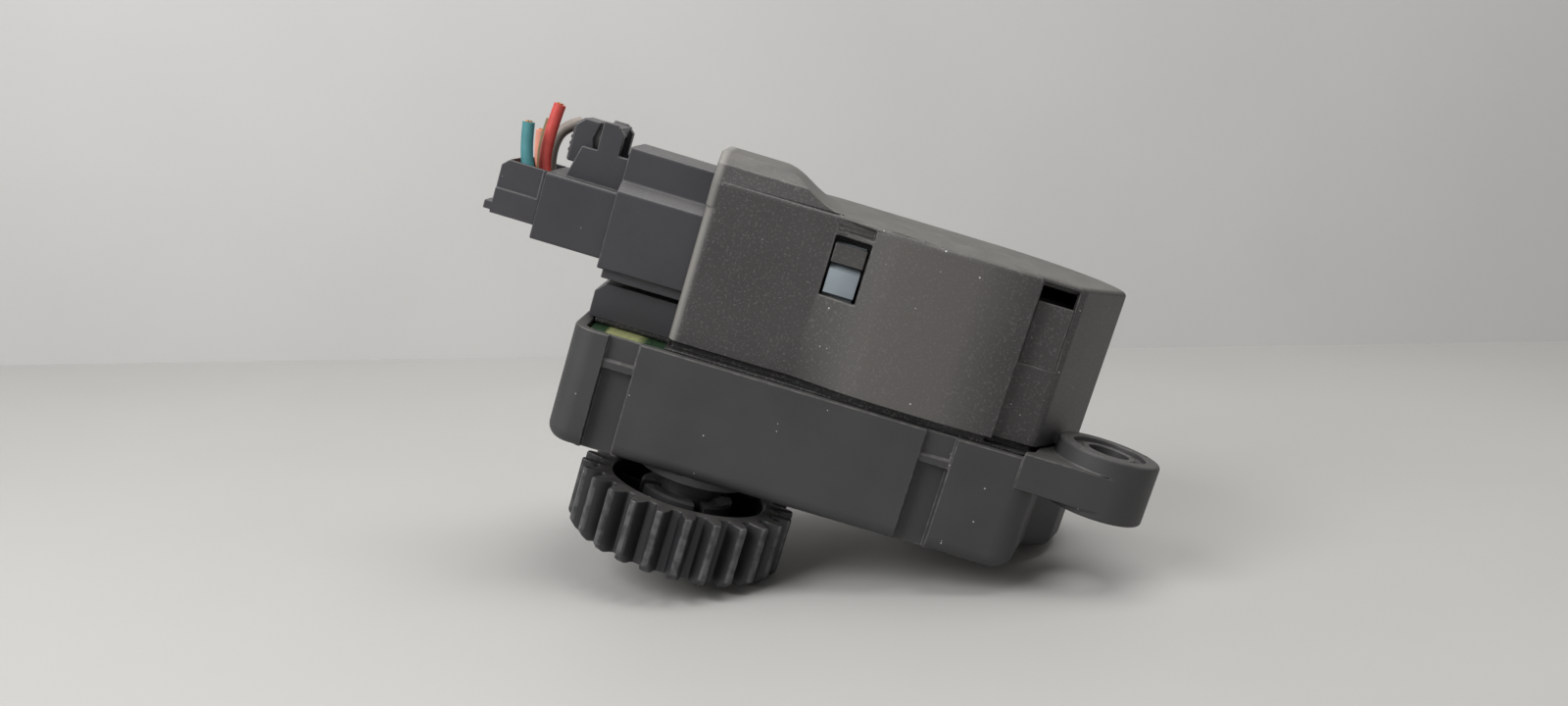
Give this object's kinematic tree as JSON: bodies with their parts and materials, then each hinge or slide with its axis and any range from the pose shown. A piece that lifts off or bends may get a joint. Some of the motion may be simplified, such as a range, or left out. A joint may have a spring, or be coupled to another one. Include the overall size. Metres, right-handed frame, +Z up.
{
  "type": "motorised actuator head",
  "caption": "Compact geared electric actuator with a spur output gear below, a two-part snap casing, screw ears, and a side connector with plug and cut wire ends.",
  "frame": {"origin": "on the output gear's axis, at the lower casing's bottom face", "axes": "+X along the casing to the front screw ear, +Y to the back, +Z up along the output axis to the casing's top"},
  "size_m": [0.1039, 0.061, 0.06],
  "materials": {
    "casing_plastic": "fine-textured dark grey glass-filled plastic",
    "cover_plastic": "fine-textured dark warm grey glass-filled plastic",
    "connector_plastic": "smooth dark purplish grey plastic",
    "plug_plastic": "smooth black-grey plastic",
    "gear_plastic": "near-black acetal",
    "carrier_plastic": "bluish grey plastic",
    "wheel_plastic": "natural white acetal",
    "board": "pale yellow-green board with solder mask",
    "chip_black": "black moulded",
    "tin": "tin-plated brass",
    "steel": "zinc-plated sheet steel",
    "dark_steel": "dark phosphated sheet steel",
    "bronze": "sintered bronze",
    "copper": "enamelled copper",
    "magnet": "dark ferrite",
    "bobbin_plastic": "dark blue-grey plastic",
    "red_insulation": "red wire insulation",
    "teal_insulation": "teal wire insulation",
    "brown_insulation": "olive brown wire insulation",
    "grey_insulation": "grey-brown wire insulation",
    "orange_insulation": "pink-orange wire insulation"
  },
  "bodies": {
    "housing": {"lower_casing": "casing_plastic", "upper_casing": "cover_plastic", "gear_carrier": "carrier_plastic", "header_shell": "connector_plastic", "header_pins": "tin", "circuit_board": "board", "board_parts": "chip_black", "motor_base": "steel", "motor_can": "dark_steel", "coil_bobbins": "bobbin_plastic", "coil_windings": "copper", "pole_plates": "steel", "motor_bushings": "bronze", "motor_terminals": "tin", "first_axle": "steel", "second_axle": "steel", "output_bushing": "bronze", "thrust_washer": "steel"},
    "rotor": {"rotor_magnet": "magnet", "rotor_hub": "wheel_plastic", "rotor_shaft": "steel", "motor_pinion": "wheel_plastic"},
    "first_wheel": {"first_wheel": "wheel_plastic"},
    "second_wheel": {"second_wheel": "wheel_plastic"},
    "output": {"output_wheel": "gear_plastic", "output_gear": "gear_plastic"},
    "plug": {"plug_housing": "plug_plastic", "plug_terminals": "tin", "plug_cover": "plug_plastic", "wire_teal": "teal_insulation", "wire_red": "red_insulation", "wire_brown": "brown_insulation", "wire_grey": "grey_insulation", "wire_orange": "orange_insulation"},
    "latch": {"latch_lever": "plug_plastic"}
  },
  "joints": [
    {"name": "rotor_spin", "type": "hinge", "parent": "housing", "child": "rotor", "pos_m": [0.0354, 0.0104, 0.028], "axis": [0, 0, 1], "continuous": true},
    {"name": "first_wheel_spin", "type": "hinge", "parent": "housing", "child": "first_wheel", "pos_m": [0.02186, 0.00684, 0], "axis": [0, 0, 1], "continuous": true},
    {"name": "second_wheel_spin", "type": "hinge", "parent": "housing", "child": "second_wheel", "pos_m": [0.00905, 0.00905, 0], "axis": [0, 0, 1], "continuous": true},
    {"name": "output_spin", "type": "hinge", "parent": "housing", "child": "output", "pos_m": [0, 0, 0], "axis": [0, 0, 1], "continuous": true},
    {"name": "plug_pull", "type": "slide", "parent": "housing", "child": "plug", "axis": [-1, 0, 0], "range_m": [0, 0.02]},
    {"name": "latch_press", "type": "hinge", "parent": "plug", "child": "latch", "pos_m": [-0.0139, 0.0051, 0.0381], "axis": [0, 1, 0], "range_deg": [-4.5, 0], "stiffness_Nm_per_rad": 0.02}
  ],
  "couplings": [
    {"joint": "first_wheel_spin", "follows": "rotor_spin", "ratio": -0.27273},
    {"joint": "second_wheel_spin", "follows": "rotor_spin", "ratio": 0.10048},
    {"joint": "output_spin", "follows": "rotor_spin", "ratio": -0.07815}
  ]
}
